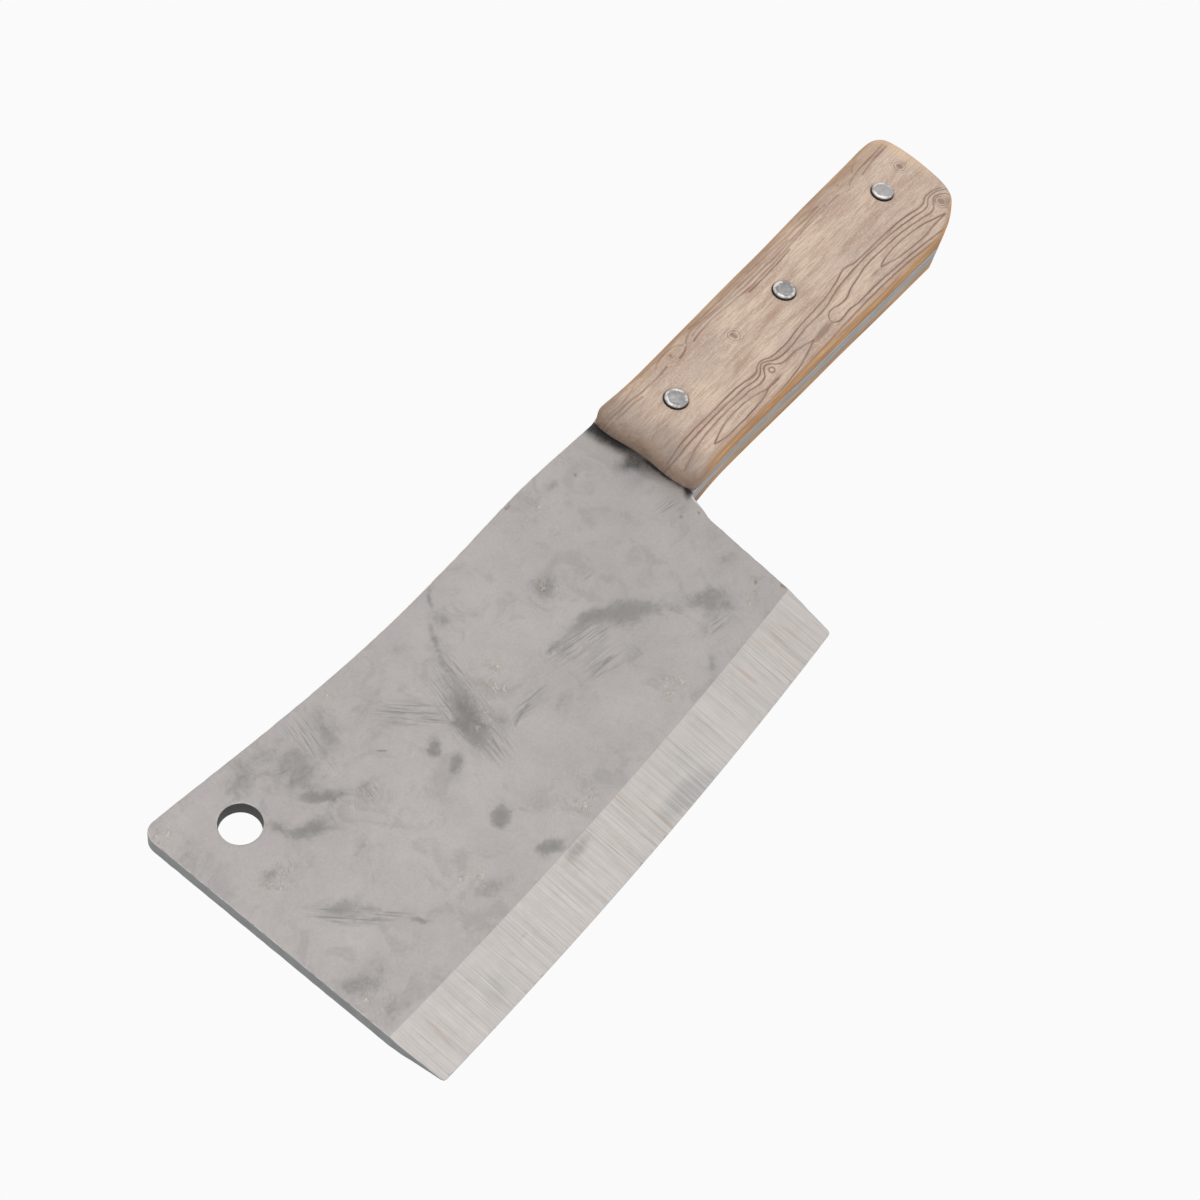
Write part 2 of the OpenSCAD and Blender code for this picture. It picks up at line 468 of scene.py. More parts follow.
def make_blade(material):
    bm = bmesh.new()
    walls = []
    for side in (1, -1):
        rims = stack(bm, blade_rings(side))
        ends = [rims[0]]
        inner = []
        holes = [(hang_hole, hang_hole_r, 0.3 * MM, 72)]
        holes += [((x, 0), tube_r, 0.1 * MM, 24) for x in rivet_xs]
        for centre, radius, wear, count in holes:
            rims_in = stack(bm, hole_rings(centre, radius, side, wear, count))
            ends.append(rims_in[0])
            inner.append(rims_in[-1])
        fill(bm, rims[-1], inner, lambda x, y: side * blade_height(x, y), 2.4 * MM, bevel_line())
        walls.append(ends)
    for upper, lower in zip(*walls):
        loft(bm, upper, lower)
    mark_crease(bm)
    blade = finished("cleaver_blade", bm, material)
    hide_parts("blade")
    return blade


def mark_crease(bm):
    """Marks the edges along the start of the bevel as sharp."""
    centre = origin.xy + edge_centre
    for edge in bm.edges:
        off = max(abs((v.co.xy - centre).length - (edge_r - bevel_w)) for v in edge.verts)
        rise = min(abs(v.co.z - origin.z) for v in edge.verts)
        if off < 0.02 * MM and rise > 0.9 * blade_half:
            edge.smooth = False


# ---------------------------------------------------------------- scales
def front_wave(y):
    """How far the hand-shaped front of a scale lies behind a straight line."""
    return (0.3 + 0.4 * math.cos(2 * math.pi * (y + 1.5 * MM) / (19 * MM))) * MM


def worn(x, y, z, seed):
    """A point of a scale as years of use have left it."""
    lift = min(1.0, max(0.0, (z - blade_half) / (2 * MM)))
    shift = front_wave(y) * max(0.0, 1 - x / (7 * MM))
    dx = 0.1 * MM * wobble(x + z, y, 9 * MM, seed + 1)
    dy = 0.14 * MM * wobble(x, y + z, 21 * MM, seed + 2)
    dz = 0.12 * MM * wobble(x, y, 26 * MM, seed + 3)
    return (x + shift + dx * lift, y + dy * lift, z + dz * lift)


def scale_face(x, y):
    """Z of a scale's outer face, which is a little crowned."""
    across = (y - (top_side(x) + low_side(x)) / 2) / (14 * MM)
    return face_z - 0.12 * MM * across**2


def scale_rings():
    """The rim of a scale, from the tang up its side and over its rounded shoulder."""
    rings = []
    for inset, rise in ((seam_wear, 0), (0.25 * seam_wear, 0.4 * seam_wear), (0, 1.2 * seam_wear)):
        rings.append([(p.x, p.y, blade_half + rise) for p in handle_outline(inset, inset)])
    for turn in steps(0, 90, 9):
        angle = math.radians(turn)
        inset = side_round * (1 - math.cos(angle))
        nose_inset = nose_round * (1 - math.cos(angle))
        drop = side_round * (1 - math.sin(angle))
        nose_drop = nose_round * (1 - math.sin(angle))
        points = []
        for p in handle_outline(inset, nose_inset):
            share = min(1.0, max(0.0, (nose_inset + front_r - p.x) / front_r))
            points.append((p.x, p.y, scale_face(p.x, p.y) - drop - (nose_drop - drop) * share))
        rings.append(points)
    inset = side_round + 0.8 * MM
    nose_inset = nose_round + 0.8 * MM
    rings.append([(p.x, p.y, scale_face(p.x, p.y)) for p in handle_outline(inset, nose_inset)])
    return rings


def make_scale(name, node, side, seed, material):
    """One scale. The far one is the same shape turned over, with its own wear."""
    bm = bmesh.new()

    def settled(x, y, z):
        x, y, z = worn(x, y, z, seed)
        return (x, y, side * z)

    rims = stack(bm, [[settled(*p) for p in points] for points in scale_rings()])
    outer_holes, inner_holes = [], []
    rim_r = head_r + 0.12 * MM
    hole_r = tube_r + 0.05 * MM
    for x in rivet_xs:
        profile = [(0.9 * MM, 0), (0.3 * MM, 0), (0.08 * MM, -0.1 * MM), (0, -0.3 * MM), (0, -recess)]
        levels = [(rim_r + spread, face_z + drop) for spread, drop in profile]
        levels += [(hole_r, face_z - recess), (hole_r, blade_half)]
        rims_in = stack(bm, [[settled(p.x, p.y, z) for p in circle((x, 0), r, 48)] for r, z in levels])
        outer_holes.append(rims_in[0])
        inner_holes.append(rims_in[-1])
    fill(bm, rims[-1], outer_holes, lambda x, y: settled(x, y, scale_face(x, y))[2], 2 * MM)
    fill(bm, rims[0], inner_holes, lambda x, y: side * blade_half, 6 * MM)
    scale = finished(name, bm, material)
    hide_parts(node)
    return scale


# ---------------------------------------------------------------- rivets
def head_profile():
    """A flat face, a faint groove and a rolled rim, from the middle to the bottom of the recess."""
    face = [(head_r * share, head_top - 0.12 * MM * share**2) for share in (0.03, 0.15, 0.3, 0.45, 0.58)]
    groove = [(head_r * 0.66, head_top - 0.12 * MM), (head_r * 0.71, head_top - 0.06 * MM)]
    roll = []
    for angle in steps(0.15, 1.57, 8):
        radius = head_r * (0.75 + 0.25 * math.sin(angle))
        roll.append((radius, head_top - 0.06 * MM - 0.62 * MM * (1 - math.cos(angle))))
    return face + groove + roll + [(head_r, face_z - recess)]


def make_half(half, place_name, x, shank, side, seed, material):
    """One half of a rivet, a head and a shank of (radius, z) points turned about the rivet's axis."""
    levels = []
    for radius, z in head_profile() + shank:
        points = []
        for p in circle((x, 0), radius, 56):
            dent = 0.0
            if z > face_z:
                dent = head_dents * wobble(p.x, p.y, 1.5 * MM, seed)
            points.append((p.x, p.y, side * (z + dent)))
        levels.append(points)
    bm = bmesh.new()
    rims = stack(bm, levels)
    bm.faces.new(rims[0])
    bm.faces.new(rims[-1])
    piece = finished(half + "_" + place_name, bm, material)
    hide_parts("rivet_" + half + "_" + place_name)


def make_rivet(place_name, x, seed, material):
    """A rivet's two halves: a head with a tube, and a head with a pin that fills the tube."""
    floor_z = face_z - recess
    bore = pin_r + 0.02 * MM
    middle = 0.05 * MM
    tube = [(tube_r, floor_z), (tube_r, socket_end), (bore, socket_end), (bore, floor_z), (middle, floor_z)]
    make_half("socket", place_name, x, tube, 1, seed, material)
    pin = [(pin_r, floor_z), (pin_r, -stud_top), (middle, -stud_top)]
    make_half("stud", place_name, x, pin, -1, seed + 7, material)


# ---------------------------------------------------------------- materials
CURVE_SPAN = 160


class Graph:
    """The nodes of one material or world. Most methods add nodes and return an output socket."""

    def __init__(self, owner):
        owner.use_nodes = True
        self.owner = owner
        self.tree = owner.node_tree
        self.tree.nodes.clear()

    def node(self, kind, inputs, **settings):
        made = self.tree.nodes.new(kind)
        for key, value in settings.items():
            setattr(made, key, value)
        for key, value in inputs.items():
            if isinstance(value, bpy.types.NodeSocket):
                self.tree.links.new(value, made.inputs[key])
            else:
                made.inputs[key].default_value = value
        return made

    def point(self):
        """The surface point in the handle's axes, in millimetres."""
        coords = self.node("ShaderNodeTexCoord", {}).outputs["Object"]
        inputs = {"Vector": coords, "Location": -origin / MM, "Scale": (1 / MM,) * 3}
        return self.node("ShaderNodeMapping", inputs).outputs[0]

    def math(self, operation, *values):
        return self.node("ShaderNodeMath", dict(enumerate(values)), operation=operation).outputs[0]

    def add(self, a, b):
        return self.math("ADD", a, b)

    def sub(self, a, b):
        return self.math("SUBTRACT", a, b)

    def mul(self, a, b):
        return self.math("MULTIPLY", a, b)

    def larger(self, a, b):
        return self.math("MAXIMUM", a, b)

    def plus(self, value, extra, amount):
        """The value with an amount of something extra."""
        return self.math("MULTIPLY_ADD", extra, amount, value)

    def vary(self, value, noise, amount):
        """The value moved up and down by noise, by up to about half the amount."""
        return self.plus(value, self.sub(noise, 0.5), amount)

    def distance(self, vector, point=(0, 0, 0)):
        inputs = {0: vector, 1: point}
        return self.node("ShaderNodeVectorMath", inputs, operation="DISTANCE").outputs["Value"]

    def split(self, vector):
        made = self.node("ShaderNodeSeparateXYZ", {0: vector})
        return made.outputs[0], made.outputs[1], made.outputs[2]

    def join(self, x, y, z):
        return self.node("ShaderNodeCombineXYZ", {0: x, 1: y, 2: z}).outputs[0]

    def mapped(self, vector, where=(0, 0, 0), turn=0.0, size=(1, 1, 1)):
        """The vector in the axes of something at that place, of that size, turned about Z in degrees."""
        rotation = (0, 0, math.radians(turn))
        inputs = {"Vector": vector, "Location": where, "Rotation": rotation, "Scale": size}
        return self.node("ShaderNodeMapping", inputs, vector_type="TEXTURE").outputs[0]

    def noise(self, vector, size, detail=3.0, rough=0.5, twist=0.0):
        """Noise from 0 to 1 with bumps of about that size, in millimetres."""
        inputs = {"Vector": vector, "Scale": 1 / size, "Detail": detail, "Roughness": rough}
        return self.node("ShaderNodeTexNoise", {**inputs, "Distortion": twist}).outputs[0]

    def ramp(self, value, low, high, start=0.0, end=1.0):
        """A smooth step from start to end as the value goes from low to high."""
        inputs = {"Value": value, "From Min": low, "From Max": high, "To Min": start, "To Max": end}
        return self.node("ShaderNodeMapRange", inputs, interpolation_type="SMOOTHSTEP").outputs[0]

    def mix(self, share, a, b):
        """Two colours mixed."""
        made = self.node("ShaderNodeMix", {}, data_type="RGBA")
        for socket, value in ((made.inputs[0], share), (made.inputs[6], a), (made.inputs[7], b)):
            if isinstance(value, bpy.types.NodeSocket):
                self.tree.links.new(value, socket)
            elif isinstance(value, (int, float)):
                socket.default_value = value
            else:
                socket.default_value = (*value, 1)
        return made.outputs[2]

    def scaled(self, colour, factor):
        """A colour times a number that varies over the surface."""
        return self.node("ShaderNodeVectorMath", {0: colour, 3: factor}, operation="SCALE").outputs[0]

    def marks(self, vector, marks):
        """Soft spots added together: x, y, half length, half width, turn in degrees and strength."""
        total = 0.0
        for x, y, length, width, turn, strength in marks:
            near = self.mapped(vector, (x, y, 0), turn, (length, width, 1000))
            spot = self.node("ShaderNodeTexGradient", {"Vector": near}, gradient_type="SPHERICAL")
            total = self.plus(total, spot.outputs[1], strength)
        return total

    def stirred(self, vector, size, amount):
        """The vector moved about by noise, by up to about half the amount, to make plain shapes natural."""
        inputs = {"Vector": vector, "Scale": 1 / size, "Detail": 4.0, "Roughness": 0.6}
        colour = self.node("ShaderNodeTexNoise", inputs).outputs[1]
        inputs = {0: colour, 1: (0.5, 0.5, 0.5)}
        centred = self.node("ShaderNodeVectorMath", inputs, operation="SUBTRACT").outputs[0]
        inputs = {0: centred, 1: (amount, amount, 0), 2: vector}
        return self.node("ShaderNodeVectorMath", inputs, operation="MULTIPLY_ADD").outputs[0]

    def follow(self, x, knots):
        """The y of a smooth line through knots of (x, y), for each x, all in millimetres."""
        made = self.node("ShaderNodeFloatCurve", {"Value": self.mul(x, 1 / CURVE_SPAN)})
        points = made.mapping.curves[0].points
        while len(points) < len(knots):
            points.new(0.5, 0.5)
        for point, (knot_x, knot_y) in zip(points, knots):
            point.location = (knot_x / CURVE_SPAN, 0.5 + knot_y / CURVE_SPAN)
        made.mapping.update()
        return self.math("MULTIPLY_ADD", made.outputs[0], CURVE_SPAN, -0.5 * CURVE_SPAN)

    def nearest_line(self, x, y, lines):
        """About how far a point lies from the nearest of some lines, each given by its knots."""
        nearest = 10.0
        for knots in lines:
            off = self.math("ABSOLUTE", self.sub(y, self.follow(x, knots)))
            half = (knots[-1][0] - knots[0][0]) / 2
            beyond = self.sub(self.math("ABSOLUTE", self.sub(x, knots[0][0] + half)), half)
            nearest = self.math("MINIMUM", nearest, self.add(off, self.larger(beyond, 0.0)))
        return nearest

    def bump(self, height, depth):
        """A bump of that depth in millimetres, where the height goes from 0 to 1."""
        inputs = {"Height": height, "Distance": depth * MM, "Strength": 1.0}
        return self.node("ShaderNodeBump", inputs).outputs[0]

    def finish(self, **inputs):
        """Ends the material in a principled surface."""
        named = {key.replace("_", " "): value for key, value in inputs.items()}
        surface = self.node("ShaderNodeBsdfPrincipled", named)
        self.node("ShaderNodeOutputMaterial", {"Surface": surface.outputs[0]})
        return self.owner


def grey(value, warmth=0.0):
    """A grey, slightly warm or cold."""
    return (value * (1 + warmth), value, value * (1 - warmth))


FACE_SMUDGES = (
    (-127.5, -8.5, 7, 3.4, -22, 1.1),
    (-131.5, -3.5, 6, 2.6, -65, 0.8),
    (-120, -5.5, 7, 1.8, -48, 0.9),
    (-114, -10.5, 5, 2.5, 35, 0.7),
    (-138, -25, 8, 4, -52, 0.9),
    (-132, -33, 9, 5, -50, 0.4),
    (-128.7, -39, 3.4, 1.1, -60, 0.9),
    (-147, -38.5, 9, 4.5, -12, 0.9),
    (-148, -47, 7, 5, 0, 0.5),
    (-141, -8.5, 4, 3, 0, 0.7),
    (-83, -13.5, 13, 4.4, 66, 1.2),
    (-87, -19, 11, 4.5, 72, 0.8),
    (-80, -21, 6, 5, 60, 0.5),
    (-95, -14.8, 4, 2, 25, 1.3),
    (-96, -21.5, 6, 2.6, 25, 1.0),
    (-98.5, -36.3, 4.2, 3.6, 20, 1.5),
    (-97, -49.5, 5, 2.6, -25, 1.3),
    (-94, -54, 6, 2, 0, 1.2),
    (-69, 5, 5, 4, 25, 0.8),
    (-45.5, -7.5, 6, 4.5, 30, 1.0),
    (-56.5, -19.5, 5, 1.8, -5, 0.9),
    (-47.5, -20.5, 8, 3.4, -14, 1.1),
    (-40, -25, 10, 6, -35, 1.1),
    (-32, -31, 11, 5, -40, 0.7),
    (-22, -39, 9, 5.5, -35, 1.1),
    (-29, -42.5, 7, 2.5, 10, 0.6),
    (-46, -34, 11, 7, 0, 0.6),
    (-67, -30, 7, 4, 10, 0.6),
    (-66, -47, 12, 6, 10, 0.45),
    (-11, -35.5, 9, 4, -5, 0.65),
    (-36, -50, 9, 2.6, 30, 0.6),
    (-21, 9, 7, 3.5, 0, 0.5),
    (-119, 3, 15, 8, 75, 0.85),
    (-108, 5, 12, 6, 70, 0.75),
    (-97, 2, 9, 4, 0, 0.5),
    (-128, 11, 12, 6, 20, 0.65),
    (-148, 8, 8, 6, 0, 0.4),
    (-112, -46, 10, 4, -20, 0.6),
    (-123, -18, 9, 3, 30, 0.45),
    (-86, 8, 10, 6, 0, 0.35),
)
FALLING_SCRATCHES = (
    (-138, -26, 12, 3.6, -54, 1.4),
    (-92, -7, 14, 6, -52, 1.2),
    (-118, -7, 10, 3, -48, 0.8),
    (-131, -34, 9, 4, -54, 0.6),
)
STEEP_SCRATCHES = (
    (-84, -16, 18, 8, 74, 1.6),
    (-112, 6, 13, 9, 74, 0.9),
    (-76, -3, 14, 5, 62, 0.7),
    (-113, -12, 6, 4, 40, 0.8),
)
LEVEL_SCRATCHES = (
    (-51, -23, 14, 6, -10, 1.2),
    (-53, -31, 10, 5, -10, 0.9),
    (-73, -24, 12, 3, 6, 0.9),
    (-24, -43, 13, 5, 30, 0.9),
    (-7, -17, 7, 5, -45, 0.9),
)
LONG_STREAKS = (
    (-66, 10, 6.5, 1.3, 44, 0.7),
    (-74, 2.5, 8, 1.5, 52, 0.8),
    (-78.5, -5.5, 8, 1.7, 66, 0.7),
    (-76, -24.5, 7, 0.8, 8, 0.9),
    (-52, -30.6, 3.5, 0.7, -10, 1.2),
    (-36, -13.4, 3.5, 0.5, -8, 0.7),
    (-103.5, -7, 2.2, 0.5, -55, 0.8),
)
CHIPPED_PATCHES = (
    (-141, -10, 7, 6, 0, 1.0),
    (-149, -43, 7, 7, 0, 1.2),
    (-116, -42, 7, 9, 0, 0.9),
    (-84, -46, 7, 9, 0, 1.0),
    (-114, -11, 7, 5, 0, 0.9),
    (-48, -10, 8, 7, 0, 1.0),
    (-73, -14, 8, 9, 0, 0.9),
    (-47, -47, 6, 7, 0, 1.0),
    (-82, -18, 6, 6, 0, 0.9),
    (-97, -14, 6, 5, 0, 0.7),
    (-30, 8, 8, 5, 0, 0.8),
    (-13, 11, 6, 3, 0, 0.8),
    (-14, -46, 5, 5, 0, 0.9),
    (-100, 10, 7, 4, 0, 0.7),
    (-150, 14, 5, 5, 0, 0.8),
)
RUST_SPOTS = (
    (-7, -50, 1.2, 1.4, 0, 1.5),
    (-3.6, -22.7, 1.3, 0.6, 45, 1.3),
    (-10.6, -43.8, 0.9, 0.6, 30, 1.2),
    (-34, 12.9, 2.4, 0.6, 0, 1.0),
    (-35.6, -66, 1.2, 0.8, 0, 1.3),
    (-27.5, -65.8, 1, 0.7, 0, 1.2),
    (-7.5, -20, 1.2, 0.7, 0, 0.9),
    (-27.3, -58.5, 1, 1, 0, 1.1),
    (-15, 6.5, 1.2, 1, 0, 0.8),
)
BEVEL_SMUDGES = (
    (-130, -61, 8, 5, 30, 0.7),
    (-66, -64.5, 13, 4, -8, 1.6),
    (-60, -58.5, 10, 6, 0, 0.6),
    (-94, -53.8, 6, 2.4, 0, 1.3),
    (-117, -57.3, 1.6, 1, 0, 0.9),
)
# dark marks where the blade meets the wood: grime, and painted shadow under the scales' front edge and in the
# heel notch
JUNCTION_GRIME_AND_SHADOW = (
    (0.5, 10, 5.2, 12, 0, 2.3),
    (-4.2, -1.2, 5, 3.2, -12, 0.9),
    (-0.3, -4, 4.4, 11, 0, 1.1),
    (0, -16.8, 3.2, 1.5, 30, 2.0),
    (-5, -5.5, 6, 4, 0, 0.4),
    (0.4, -11, 1.5, 9, 0, 1.2),
)


CLEAN_STEEL = ((0.447, 0.421, 0.41), (0.472, 0.443, 0.424))
# painted light: paler, bluer steel for the surfaces that face sideways
LIT_SIDE_WALL = ((0.44, 0.455, 0.465), (0.53, 0.54, 0.54))
TANG_STRIP = ((0.56, 0.55, 0.54), (0.72, 0.71, 0.695))
GROUND_STEEL = (0.57, 0.54, 0.518)
# painted highlight: the bright glint along the heel's edge
HEEL_HIGHLIGHT = (0.74, 0.78, 0.82)
CHIP = (0.6, 0.54, 0.48)
# painted shade beside the chips
CHIP_SHADE = (0.28, 0.23, 0.19)
RUST = (0.29, 0.21, 0.16)
BROWN_LINE = (0.46, 0.35, 0.27)
EDGE_STAIN = (0.33, 0.23, 0.16)


def scratches(g, point, patches, turn, seed):
    """Fine parallel scratches within some patches, at that turn in degrees."""
    x, y, _ = g.split(point)
    lines = g.noise(g.mapped(g.join(x, y, seed), turn=turn, size=(18, 1, 1)), 0.42, 3, 0.6)
    return g.mul(g.ramp(lines, 0.44, 0.62), g.ramp(g.marks(point, patches), 0.05, 0.95))


def face_dirt(g, point, near, cloud, ragged):
    """How dirty the flat of the blade is, with its smudges, scratches and streaks."""
    marked = g.marks(near, FACE_SMUDGES)
    soft = g.vary(g.vary(marked, cloud, 1.3), ragged, 0.7)
    crisp = g.ramp(g.vary(marked, g.noise(point, 3.6, 9, 0.74, 0.6), 2.4), 0.32, 0.8)
    mottled = g.ramp(g.noise(point, 8.5, 9, 0.68, 0.8), 0.5, 0.64, 0, 0.26)
    smudge = g.add(g.plus(g.ramp(soft, -0.05, 1.35, 0, 0.6), crisp, 0.36), mottled)
    scratch = scratches(g, point, FALLING_SCRATCHES, -53, 1.0)
    scratch = g.larger(scratch, scratches(g, point, STEEP_SCRATCHES, 74, 5.0))
    scratch = g.larger(scratch, scratches(g, point, LEVEL_SCRATCHES, -10, 9.0))
    streak = g.marks(g.stirred(point, 9, 2.2), LONG_STREAKS)
    streak = g.ramp(g.mul(streak, g.ramp(ragged, 0.3, 0.6, 0.5, 1.3)), 0.1, 0.9)
    return g.larger(smudge, g.mul(g.larger(streak, scratch), 0.85))


def face_steel(g, point, ragged):
    """The flat of the blade: its colour, how much dirt it has, and how deep its chips are."""
    broad = g.noise(point, 24, 5, 0.55)
    cloud = g.noise(point, 7, 6, 0.6, 0.4)
    fine = g.noise(point, 0.6, 4, 0.7)
    near = g.stirred(g.stirred(point, 7, 4.0), 2.2, 2.0)
    dirt = face_dirt(g, point, near, cloud, ragged)
    tone = 1.0
    for noise, amount in ((broad, 0.3), (cloud, 0.16), (ragged, 0.16), (fine, 0.26)):
        tone = g.vary(tone, noise, amount)
    clean = g.scaled(g.mix(cloud, *CLEAN_STEEL), tone)
    colour = g.mix(g.mul(dirt, 0.62), clean, grey(0.24, 0.03))

    # small chips with painted shade beside them, within some patches
    chips = g.noise(g.mapped(point, turn=40, size=(1.6, 1, 1)), 1.3, 3, 0.6, 1.2)
    chipped = g.ramp(g.marks(near, CHIPPED_PATCHES), 0.0, 0.7)
    chipped = g.mul(chipped, g.ramp(g.noise(point, 3.4, 4, 0.6), 0.42, 0.6))
    chip_shade = g.mul(g.ramp(g.math("ABSOLUTE", g.sub(chips, 0.53)), 0.03, 0.0), chipped)
    chips = g.mul(g.ramp(chips, 0.56, 0.6), chipped)
    colour = g.mix(g.mul(chips, 0.7), colour, CHIP)
    colour = g.mix(g.mul(chip_shade, 0.45), colour, CHIP_SHADE)
    rust = g.ramp(g.mul(g.marks(near, RUST_SPOTS), g.ramp(ragged, 0.3, 0.6, 0.5, 1.3)), 0.2, 0.9)
    return g.mix(g.mul(rust, 0.7), colour, RUST), dirt, chips


def bevel_steel(g, point):
    """The ground bevel, whose fine lines run across it to the edge: its colour and its lines."""
    x, y, _ = g.split(point)
    fan = g.join(x, g.mul(y, 0.012), 0.0)
    lines = g.noise(fan, 0.3, 4, 0.75)
    bands = g.noise(fan, 2.4, 3, 0.6)
    cloud = g.noise(point, 5, 6, 0.65)
    rare = g.noise(g.join(x, g.mul(y, 0.03), 4.0), 0.7, 2, 0.5)
    brown = g.mul(g.ramp(rare, 0.6, 0.68), g.ramp(g.noise(point, 9, 3), 0.4, 0.6))
    dark = g.ramp(g.noise(g.join(x, g.mul(y, 0.02), 8.0), 0.55, 2, 0.5), 0.62, 0.72)
    smudge = g.vary(g.marks(g.stirred(point, 3, 2.0), BEVEL_SMUDGES), cloud, 1.2)
    smudge = g.mul(g.ramp(smudge, 0.05, 1.1), g.ramp(lines, 0.35, 0.62, 1.25, 0.55))
    tone = g.vary(g.vary(g.vary(1.0, lines, 0.75), bands, 0.2), cloud, 0.12)
    tone = g.plus(tone, dark, -0.16)
    colour = g.scaled(g.mix(g.mul(brown, 0.45), GROUND_STEEL, BROWN_LINE), tone)
    return g.mix(g.mul(smudge, 0.55), colour, grey(0.33, 0.02)), lines


def worn_and_painted_edges(g, point, colour, ragged):
    """Side walls in a paler, bluer steel as painted light, pale rims that are worn metal and a painted
    highlight, painted shade on the wall of the hang hole, and a painted highlight along the heel notch.
    """
    x, y, _ = g.split(point)
    normal = g.node("ShaderNodeNewGeometry", {}).outputs["Normal"]
    upright = g.math("ABSOLUTE", g.split(normal)[2])
    # painted light: surfaces facing sideways get a paler, bluer steel by the way they face
    side = g.ramp(upright, 0.75, 0.25)
    wall = g.mix(g.ramp(g.noise(point, 3.4, 7, 0.7), 0.3, 0.7), *LIT_SIDE_WALL)
    colour = g.mix(side, colour, wall)
    # painted shade: the wall of the hang hole is darkened
    from_bore = g.distance(g.join(x, y, 0.0), (hang_hole.x / MM, hang_hole.y / MM, 0))
    bore_shade = g.mul(g.ramp(from_bore, 5.6, 5.3), g.ramp(upright, 0.8, 0.5))
    colour = g.mix(bore_shade, colour, grey(0.17))
    # pale rims on the rounded edges: worn bright metal, and a painted highlight where the edges catch the
    # light
    rim = g.mul(g.ramp(upright, 0.998, 0.93), g.ramp(upright, 0.4, 0.7))
    colour = g.mix(g.mul(rim, g.ramp(ragged, 0.38, 0.6, 0.1, 0.9)), colour, grey(0.68, 0.03))

    knee_x = heel_line(heel_knee_y) / MM
    knee_y = heel_knee_y / MM
    lean = knee_x / (knee_y - low_side(0) / MM)
    gap = g.sub(g.plus(knee_x, g.sub(y, knee_y), lean), x)
    # painted highlight: a bright bluish glint along the rounded top edge of the heel, next to the handle
    heel_highlight = g.mul(g.ramp(y, -24.5, -19.5), g.ramp(y, -17.9, -18.6))
    heel_highlight = g.mul(heel_highlight, g.ramp(g.plus(gap, g.ramp(y, -24.5, -18.5), -0.7), 0.25, 0.0))
    return g.mix(g.mul(heel_highlight, 0.9), colour, HEEL_HIGHLIGHT), side


def grime_shadow_and_tang(g, point, colour, ragged, side):
    """Grime and painted shadow where the blade meets the wood, and the strip of tang that shows between the
    scales.
    """
    x = g.split(point)[0]
    # grime, with painted shadow along the scales' front edge and in the heel notch
    grime_and_shadow = g.marks(g.stirred(point, 3, 1.8), JUNCTION_GRIME_AND_SHADOW)
    grime_and_shadow = g.ramp(g.mul(grime_and_shadow, g.ramp(ragged, 0.2, 0.8, 0.8, 1.15)), -0.1, 1.5)
    grime_and_shadow = g.mul(grime_and_shadow, g.ramp(x, 0.3, 1.0, 1, 0))
    colour = g.mix(g.mul(grime_and_shadow, 0.95), colour, grey(0.045))
    worn_strip = g.ramp(g.noise(g.mapped(point, size=(8, 1, 1)), 1.2, 5, 0.6), 0.3, 0.7)
    return g.mix(g.mul(side, g.ramp(x, 0.0, 1.0)), colour, g.mix(worn_strip, *TANG_STRIP))


def blade_material():
    """Old dull steel, with a ground bevel that starts at an arc alongside the edge."""
    g = Graph(bpy.data.materials.new("worn_blade_steel"))
    point = g.point()
    x, y, _ = g.split(point)
    ragged = g.noise(point, 2.0, 8, 0.7, 0.3)
    face, dirt, chips = face_steel(g, point, ragged)
    ground, lines = bevel_steel(g, point)
    reach = g.distance(g.join(x, y, 0.0), (edge_centre.x / MM, edge_centre.y / MM, 0))
    start = (edge_r - bevel_w) / MM
    on_bevel = g.ramp(g.vary(reach, ragged, 0.3), start - 0.08, start + 0.08)
    colour = g.mix(on_bevel, face, ground)
    stains = g.ramp(g.noise(g.mapped(point, size=(1.6, 1, 1)), 1.3, 3, 0.6), 0.6, 0.68)
    stains = g.mul(stains, g.ramp(reach, start + 0.94 * bevel_w / MM, start + bevel_w / MM))
    colour = g.mix(g.mul(stains, 0.6), colour, EDGE_STAIN)
    colour, side = worn_and_painted_edges(g, point, colour, ragged)
    colour = grime_shadow_and_tang(g, point, colour, ragged, side)

    rough = g.plus(g.ramp(ragged, 0.2, 0.8, 0.5, 0.6), dirt, 0.12)
    height = g.mul(g.noise(point, 0.35, 3, 0.6), g.sub(1.0, on_bevel))
    pits = g.ramp(g.noise(point, 1.3, 5, 0.7), 0.68, 0.78)
    for relief, amount in ((pits, -1.2), (g.mul(lines, on_bevel), 1.2), (chips, 2.5)):
        height = g.plus(height, relief, amount)
    return g.finish(Base_Color=colour, Metallic=1.0, Roughness=rough, Normal=g.bump(height, 0.02))


